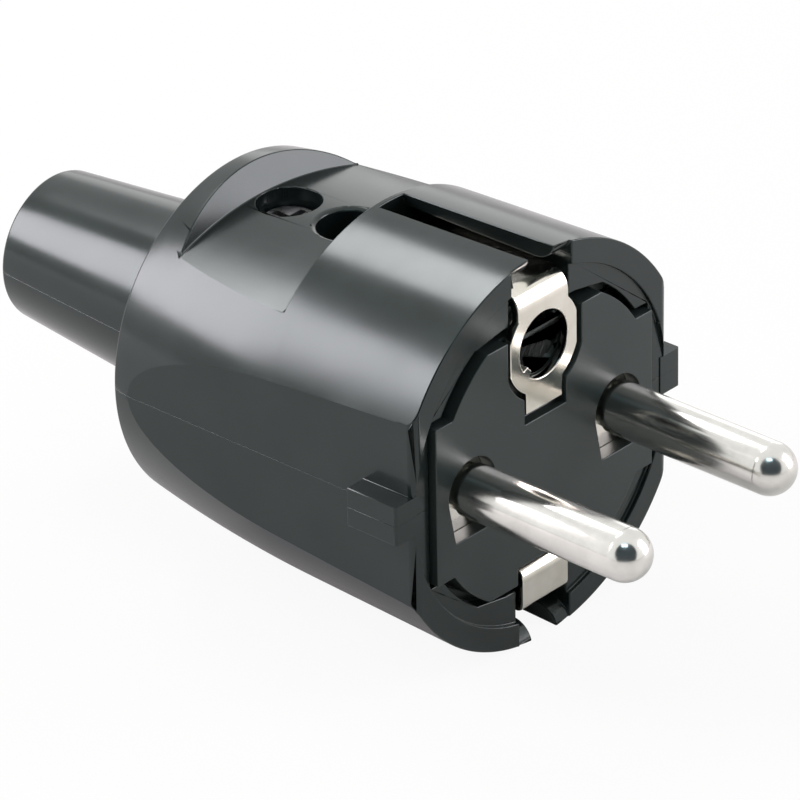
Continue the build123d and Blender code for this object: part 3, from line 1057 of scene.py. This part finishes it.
    def build(self) -> None:
        """Cut the body out, round its edges, split it into its two shells and finish both."""
        body = self.outer()
        opening = face_outline(*self.opening, self.opening_lift)
        tools = [
            self.wiring_space(),
            turned("cord_bore", self.cord_bore, sides=128),
            plate("opening", opening, *self.opening_y),
            *self.earth_slot(1), *self.earth_slot(-1),
            self.saddle_space(0.0, *self.saddle_y), *self.screw_holes(),
        ]
        for tool in tools:
            combine(body, tool)
        black = SHELL.make()
        skin = self.skin()
        halves = {"upper_shell": (self.seam_half, FAR), "lower_shell": (-FAR, -self.seam_half)}
        for name, (low, high) in halves.items():
            part = copied(body, "body_" + name)
            combine(part, block("half", (-FAR, AHEAD, low), (FAR, BEHIND, high)), Join.KEEP)
            crease(part, *self.crease_turn, self.crisp)
            soften_edges(part, self.fine_round, share=self.softness)
            shade(part, skin, self.on_skin)
            seat(part, black, name)
        bpy.data.objects.remove(body, do_unlink=True)
        bpy.data.objects.remove(skin, do_unlink=True)

    def skin(self) -> Piece:
        """Uncut barrel, tail and saddle cylinder, whose shading the cut skin takes over.

        Returns:
            The helper object.
        """
        floor = self.saddle_core(self.saddle_r)
        skin = turned("skin", self.outline())
        floor.select_set(True)
        bpy.ops.object.join()
        bpy.ops.object.shade_smooth_by_angle(angle=radians(30))
        return skin


@dataclass
class Carrier:
    """Moulded contact carrier, of which the engagement face shows."""

    arc_r: float = 14.08
    half_x: float = 14.05
    half_z: float = 12.0
    notch_z: float = 7.57
    pin_x: float = 9.5
    earth_z: float = 10.0
    block_y: float = 1.55
    recess_r: float = 2.97
    window_z: Pair = (-4.4, -0.6)
    window_half: Pair = (2.13, 2.91)
    pocket_half: float = 3.1
    face_end: float = 3.6
    inside_y: float = 20.0
    seat_y: float = 1.05

    def pin_seat(self, side: int) -> list[Piece]:
        """Round recess, tapered window and terminal pocket of one pin.

        Args:
            side: Minus one for the left pin, one for the right.

        Returns:
            The solids to cut away.
        """
        x = side * self.pin_x
        (low, high), (narrow, wide) = self.window_z, self.window_half
        window = [(x - narrow, low), (x + narrow, low), (x + wide, high), (x - wide, high)]
        half = self.pocket_half
        return [
            rod("pin_recess", Way.Y, self.recess_r, -1, self.block_y + 1, (x, 0), 96),
            plate("window", window, -1, self.block_y + 1),
            block("block_pocket", (x - half, self.block_y, -6.1), (x + half, self.inside_y, 10)),
        ]

    def strip_seat(self) -> list[Piece]:
        """Recesses of the earth parts in the face.

        Returns:
            The solids to cut away.
        """
        spot, deep, inside = (0, self.earth_z), self.seat_y, self.inside_y
        ring = rod("ring_space", Way.Y, 5.05, -1, deep, spot, 96)
        combine(ring, block("ring_sides", (-4.75, -2, 0), (4.75, 3, 20)), Join.KEEP)
        combine(ring, block("tab_space", (-2.7, -1.1, 3.3), (2.7, deep, 9.3)), Join.ADD)
        combine(ring, block("top_space", (-4.74, -1.2, 10.5), (4.74, deep, 15.5)), Join.ADD)
        return [
            ring,
            rod("sleeve_hole", Way.Y, 2.88, -1, inside, spot, 96),
            block("bottom_space", (-3.75, -1, -14), (3.75, 1.95, -10.35)),
            block("bottom_slit", (-3.15, 0, -11.6), (3.15, inside, -10.6)),
            block("nut_pocket", (-3.1, 10.4, -3.1), (3.1, inside, 3.1)),
        ]

    def build(self) -> None:
        """Model the carrier and give it its finish."""
        outline = face_outline(self.half_x, self.notch_z, self.arc_r, self.half_z)
        face = plate("carrier_face", outline, 0.0, self.face_end)
        collar = rod("collar", Way.Y, 16.0, 2.75, 4.75, sides=96)
        combine(collar, block("collar_limit", (-14.2, 0, -13.3), (14.2, 6, 13.3)), Join.KEEP)
        combine(face, collar, Join.ADD)
        combine(face, block("core", (-13.5, 3.2, -6.6), (13.5, 12.5, 6.2)), Join.ADD)
        boss = rod("sleeve_boss", Way.Y, 3.95, 3.4, 13.0, (0, self.earth_z), 64)
        combine(boss, block("boss_top", (-10, 0, -10), (10, 20, 13.3)), Join.KEEP)
        combine(face, boss, Join.ADD)
        for tool in (*self.pin_seat(-1), *self.pin_seat(1), *self.strip_seat()):
            combine(face, tool)
        merge_points(face, NEAR)
        edit(face)
        bpy.ops.mesh.dissolve_limited(angle_limit=radians(0.2))
        leave()
        soften_edges(face, 0.1)
        shade(face)
        seat(face, CARRIER.make(), "contact_carrier")


@dataclass
class EarthStrips:
    """Stamped and bent strips of the earth contact: one with the ring, and the lower clip."""

    front_y: float = 0.15
    thick: float = 0.8
    end_y: float = 14.9
    ring_z: float = 10.0
    ring_r: float = 4.57
    ring_half: float = 4.3
    hole_r: float = 3.1
    tooth_r: float = 2.5
    tab_half: float = 2.33
    tab_low: float = 4.1
    top_z: float = 15.85
    top_half: float = 3.2
    top_bend: float = 1.9
    low_half: float = 2.95
    low_z: float = -15.2
    low_bend: float = 0.9
    run_z: float = -10.7
    run_bend: float = 1.4
    run_end: float = 12.5
    tooth_turn: float = 222.0
    tooth_reach: float = 10.0
    steps: int = 12

    def ring_outline(self) -> list[Pair]:
        """Outline of ring, tab and neck, as X and Z.

        Returns:
            The corners in order, from the foot of the tab up its right side and down the left.
        """
        widths = (self.tab_half, self.ring_half, self.top_half)
        tab, side, neck = (acos(x / self.ring_r) for x in widths)
        centre = (0.0, self.ring_z)
        right = [
            (self.tab_half, self.tab_low),
            *round_points(self.ring_r, -tab, -side, 10, centre),
            *round_points(self.ring_r, side, neck, 6, centre),
            (self.top_half, self.top_z - self.top_bend),
        ]
        return right + [(-x, z) for x, z in reversed(right)]

    def hole_outline(self) -> list[Pair]:
        """Outline of the ring's hole, with the small tooth at its lower left.

        Returns:
            The corners in order, as X and Z.
        """
        tooth, reach = radians(self.tooth_turn), radians(self.tooth_reach)
        points = round_points(self.hole_r, 0.0, tooth - reach, 60)
        points += round_points(self.tooth_r, tooth - reach * 0.8, tooth + reach * 0.8, 2)
        points += round_points(self.hole_r, tooth + reach, 2 * pi - 0.08, 36)
        return [(x, z + self.ring_z) for x, z in points]

    def bend_back(self, strip: Piece, edge_z: float, up: int, radius: float,
                  end_y: float) -> None:
        """Bend one end of a strip backwards and run it on.

        Args:
            strip: The strip, with a flat end face at edge_z.
            edge_z: Where the bend starts.
            up: One if the end face looks up, minus one if it looks down.
            radius: Outer radius of the bend.
            end_y: Where the run ends.
        """
        bpy.context.tool_settings.mesh_select_mode = (False, False, True)
        edit(strip, "DESELECT")
        leave()
        for face in strip.data.polygons:
            face.select = face.normal.z * up > 0.9 and same(face.center.z / MM, edge_z)
        bpy.ops.object.mode_set(mode="EDIT")
        centre = Vector((0, self.front_y + radius, edge_z)) * MM
        for _ in range(self.steps):
            bpy.ops.mesh.extrude_region_move()
            bpy.ops.transform.rotate(
                value=up * pi / 2 / self.steps, orient_axis="X", orient_type="GLOBAL",
                center_override=centre,
            )
        run = end_y - self.front_y - radius
        bpy.ops.mesh.extrude_region_move(TRANSFORM_OT_translate={"value": (0.0, run * MM, 0.0)})
        leave()
        merge_points(strip, 0.1 * NEAR)
        edit(strip)
        close_up()

    def build(self) -> None:
        """Stamp, bend and finish both strips."""
        metal = STRIP.make()
        back_y = self.front_y + self.thick
        upper_z, low_z = self.top_z - self.top_bend, self.low_z + self.low_bend
        run_z = self.run_z - self.run_bend
        upper = plate("ring_strip", self.ring_outline(), self.front_y, back_y)
        self.bend_back(upper, upper_z, 1, self.top_bend, self.end_y)
        combine(upper, plate("ring_hole", self.hole_outline(), -1, 3))
        half = self.low_half
        lower = block("clip_strip", (-half, self.front_y, low_z), (half, back_y, run_z))
        self.bend_back(lower, low_z, -1, self.low_bend, self.end_y)
        self.bend_back(lower, run_z, 1, self.run_bend, self.run_end)
        combine(lower, rod("rivet_hole", Way.Z, 1.2, -12.5, -10, (0, 10), 48))
        for strip, node in ((upper, "upper_earth_strip"), (lower, "lower_earth_strip")):
            soften_edges(strip, 0.1, 3, 40.0, merge=0.002)
            shade(strip)
            seat(strip, metal, node)


@dataclass
class Pins:
    """Two round contact pins with domed tips."""

    radius: float = 2.4
    reach: float = 19.2
    pin_x: float = 9.5
    dome_rings: int = 14
    groove_r: float = 2.393
    shank: Sequence[Pair] = (
        (-10.0, 2.4), (-0.02, 2.4), (0.0, 2.38), (0.0, 2.15), (1.55, 2.15), (1.55, 1.9), (4.3, 1.9),
    )

    def outline(self) -> list[Pair]:
        """Turned outline of a pin, as place along Y and radius."""
        dome_end = -self.reach + self.radius
        angles = [pi / 2 * i / self.dome_rings for i in range(1, self.dome_rings + 1)]
        dome = [(-self.reach + self.radius * (1 - cos(a)), self.radius * sin(a)) for a in angles]
        groove = [(dome_end + 0.05, self.groove_r), (dome_end + 0.1, self.radius)]
        return [*dome, *groove, *self.shank]

    def build(self) -> None:
        """Turn one pin, copy it, and give both their finish."""
        nickel = PIN.make()
        left = turned("pin_left_turned", self.outline(), sides=96, centre=(-self.pin_x, 0))
        right = copied(left, "pin_right_turned")
        pick(right)
        bpy.ops.transform.translate(value=(2 * self.pin_x * MM, 0, 0))
        bpy.ops.object.transform_apply(location=True)
        for pin, node in ((left, "left_pin"), (right, "right_pin")):
            pick(pin)
            bpy.ops.object.shade_smooth_by_angle(angle=radians(40))
            seat(pin, nickel, node)


@dataclass
class KeptNodes:
    """CAD pieces whose shape is right, which only get their finish."""

    block: Sequence[str] = ("left_terminal_block", "right_terminal_block", "earth_nut")
    sleeve: Sequence[str] = ("earth_sleeve",)
    strip: Sequence[str] = ("earth_bridge", "earth_rivet")
    brass: Sequence[str] = ("housing_insert", "cord_clamp_insert")
    zinc: Sequence[str] = (
        "left_terminal_screw", "right_terminal_screw", "earth_terminal_screw", "earth_washer",
        "housing_screw", "cord_clamp_screw",
    )
    clamp: Sequence[str] = ("cord_clamp_saddle",)

    def build(self) -> None:
        """Dress every kept node."""
        finishes = {
            BLOCK: self.block, SLEEVE: self.sleeve, STRIP: self.strip, BRASS: self.brass,
            ZINC: self.zinc, CLAMP: self.clamp,
        }
        for finish, names in finishes.items():
            material = finish.make()
            for name in names:
                dress(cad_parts[name], material)
                log.info("%s: %s", name, finish.name)


MIDDLE = Vector((0.0, 20.0, 0.0))


@dataclass(frozen=True)
class Heading:
    """Place of a lamp: bearing from the rear towards the right, height angle and distance."""

    bearing: float
    height: float
    distance: float

    def place(self) -> Vector:
        """Place in millimetres, seen from the middle of the object."""
        bearing, height = radians(self.bearing), radians(self.height)
        flat = cos(height)
        way = Vector((sin(bearing) * flat, cos(bearing) * flat, sin(height)))
        return MIDDLE + way * self.distance


@dataclass
class Studio:
    """Floor, world, lamps and the camera at the photograph's view."""

    eye: Point = (-397.88, -345.30, 295.43)
    turn: Point = (61.1121, 0.9462, -48.2220)
    lens: float = 318.806
    floor_colour: Colour = (0.72, 0.72, 0.70)
    floor_glow: float = 0.92
    fill: float = 0.55
    card_colour: Colour = (0.05, 0.07, 0.08)

    def camera(self) -> None:
        """Put the camera where the photograph was taken from."""
        turn = [radians(angle) for angle in self.turn]
        bpy.ops.object.camera_add(location=Vector(self.eye) * MM, rotation=turn)
        camera = bpy.context.object
        camera.data.lens = self.lens
        camera.data.sensor_width = 36.0
        camera.data.clip_start = 0.01
        bpy.context.scene.camera = camera

    def floor(self) -> None:
        """Pale floor that shows white to the camera and keeps the object's shadow."""
        low = cad_box[0][2]
        bpy.ops.mesh.primitive_plane_add(size=6.0, location=(0, 0, low))
        floor = bpy.context.object
        floor.name = "floor"
        n = Surface("floor white")
        material = n.finish(Base_Color=self.floor_colour, Roughness=0.9)
        glow = n.add("Emission", {}).outputs["Emission"]
        seen = n.add("LightPath", {}).outputs["Is Camera Ray"]
        share = n.maths("MULTIPLY", seen, self.floor_glow)
        mix = n.add("MixShader", {0: share, 1: n.shader.outputs["BSDF"], 2: glow})
        n.give(n.tree.nodes["Material Output"], "Surface", mix.outputs["Shader"])
        floor.data.materials.append(material)

    def world(self) -> None:
        """White surroundings for the camera and for reflections, plain light for the rest."""
        world = bpy.data.worlds.new("studio")
        bpy.context.scene.world = world
        n = Nodes(world)
        back = n.tree.nodes["Background"]
        path = n.add("LightPath", {}).outputs
        seen = n.maths("MAXIMUM", path["Is Camera Ray"], path["Is Glossy Ray"])
        seen = n.maths("MAXIMUM", seen, path["Is Transmission Ray"])
        n.give(back, "Color", (1.0, 1.0, 1.0))
        n.give(back, "Strength", n.spread(seen, 0.0, 1.0, (self.fill, 1.0)))

    def lamp(self, name: str, stand: Heading, size: Pair, glow: float, tint: Colour) -> None:
        """Soft rectangular lamp that faces the object.

        Args:
            name: Name of the lamp.
            stand: Where it stands.
            size: Width and height in millimetres.
            glow: Brightness of its face, where one is white.
            tint: Colour of its light.
        """
        at = stand.place()
        bpy.ops.object.light_add(type="AREA", location=at * MM)
        lamp = bpy.context.object
        lamp.name = name
        lamp.data.shape = "RECTANGLE"
        lamp.data.size = size[0] * MM
        lamp.data.size_y = size[1] * MM
        lamp.data.energy = glow * pi * size[0] * size[1] * MM * MM
        lamp.data.color = tint
        lamp.rotation_euler = (MIDDLE - at).to_track_quat("-Z", "Y").to_euler()

    def card(self, stand: Heading, radius: float) -> None:
        """Round dark card behind the camera, which only shows as a reflection in the pins' tips.

        Args:
            stand: Where it stands.
            radius: Its radius in millimetres.
        """
        at = stand.place()
        bpy.ops.mesh.primitive_circle_add(
            vertices=64, radius=radius * MM, fill_type="NGON", location=at * MM,
        )
        card = bpy.context.object
        card.name = "dark_card"
        card.rotation_euler = (MIDDLE - at).to_track_quat("Z", "Y").to_euler()
        black = Surface("card black").finish(Base_Color=self.card_colour, Roughness=1.0)
        card.data.materials.append(black)
        card.visible_camera = card.visible_diffuse = card.visible_shadow = False

    def build(self) -> None:
        """Set the stage."""
        self.camera()
        self.floor()
        self.world()
        bpy.context.scene.view_settings.view_transform = "Standard"
        self.card(Heading(-136, 28, 760), 720)
        self.lamp("key", Heading(-33, 26.5, 600), (290, 310), 9.6, (1.08, 0.98, 1.06))
        self.lamp("top", Heading(17, 52, 600), (205, 165), 9.2, (1.05, 1.0, 1.03))
        self.lamp("rear", Heading(56, 12, 700), (360, 240), 0.8, (1.02, 0.99, 1.0))
        self.lamp("side", Heading(133, 19.5, 600), (260, 410), 5.4, (1.08, 0.98, 1.06))
        self.lamp("front", Heading(-132, 62, 600), (230, 120), 3.0, (0.7, 0.95, 1.1))


def main() -> None:
    """Set the stage, then build the sub-assemblies in order."""
    logging.basicConfig(level=logging.INFO, format="%(name)s: %(message)s")
    Studio().build()
    Shells().build()
    Carrier().build()
    EarthStrips().build()
    Pins().build()
    KeptNodes().build()


if __name__ == "__main__":
    main()
